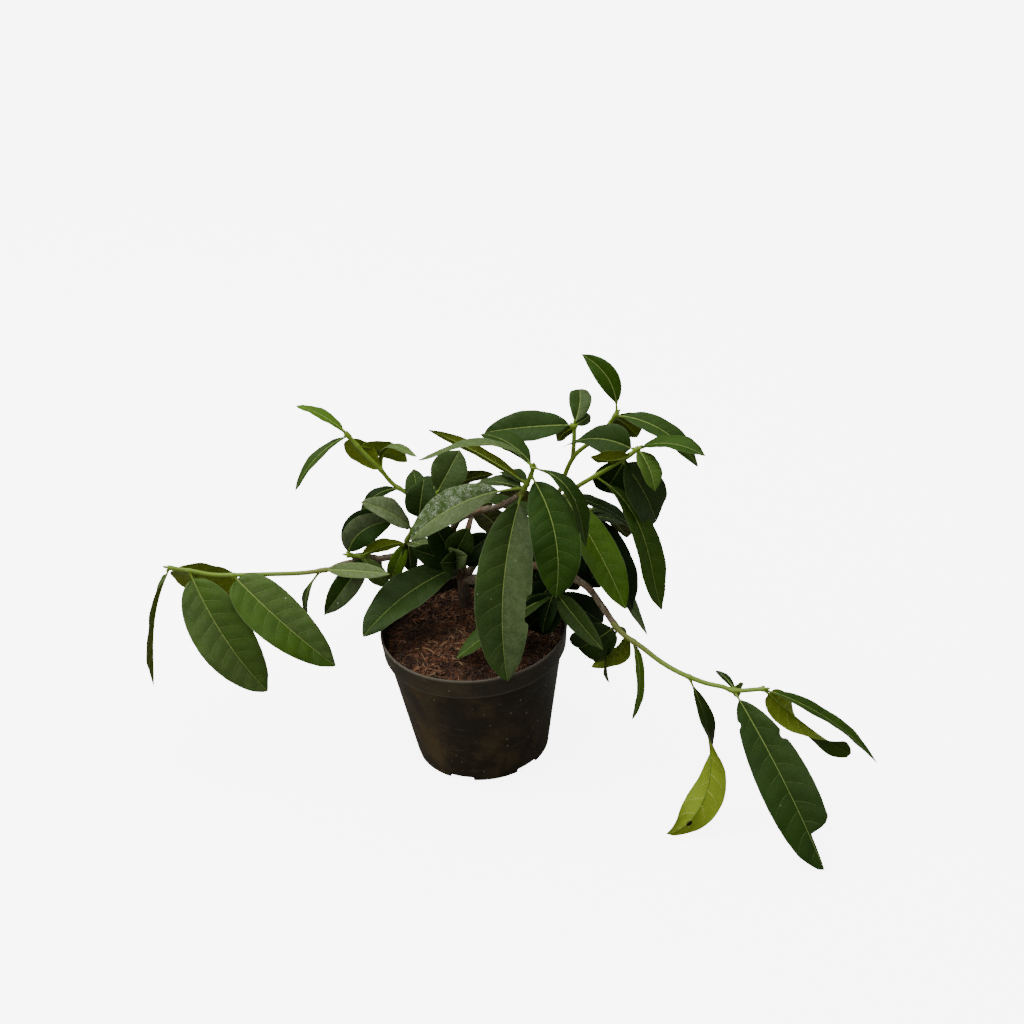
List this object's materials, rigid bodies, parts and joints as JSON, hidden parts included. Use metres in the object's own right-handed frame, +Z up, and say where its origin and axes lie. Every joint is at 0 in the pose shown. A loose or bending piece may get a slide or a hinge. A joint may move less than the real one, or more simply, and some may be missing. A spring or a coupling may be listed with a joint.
{
  "type": "potted cherry laurel",
  "caption": "Young evergreen shrub with long glossy leaves on arching stems, growing in a round tapered nursery pot of soil.",
  "frame": {"origin": "middle of the pot's foot, on the surface that the pot stands on", "axes": "+Z up; -Y is the front, the side that the picture shows; +X to the right as seen from the front"},
  "size_m": [0.655, 0.4589, 0.3776],
  "materials": {
    "pot_plastic": "matt, dusty",
    "soil_fibre": "rough, fibrous",
    "bark": "rough",
    "leaves": "satin"
  },
  "bodies": {
    "root": {"pot": "pot_plastic", "soil": "soil_fibre", "trunk_and_branches": "bark", "left_shoot": "leaves", "upper_left_shoot": "leaves", "left_low_spray": "leaves", "left_upright_spray": "leaves", "crown_spray": "leaves", "centre_shoot": "leaves", "top_shoot": "leaves", "right_upper_shoot": "leaves", "right_spray": "leaves", "right_low_spray": "leaves", "right_long_shoot": "leaves", "back_shoot": "leaves"}
  },
  "joints": []
}
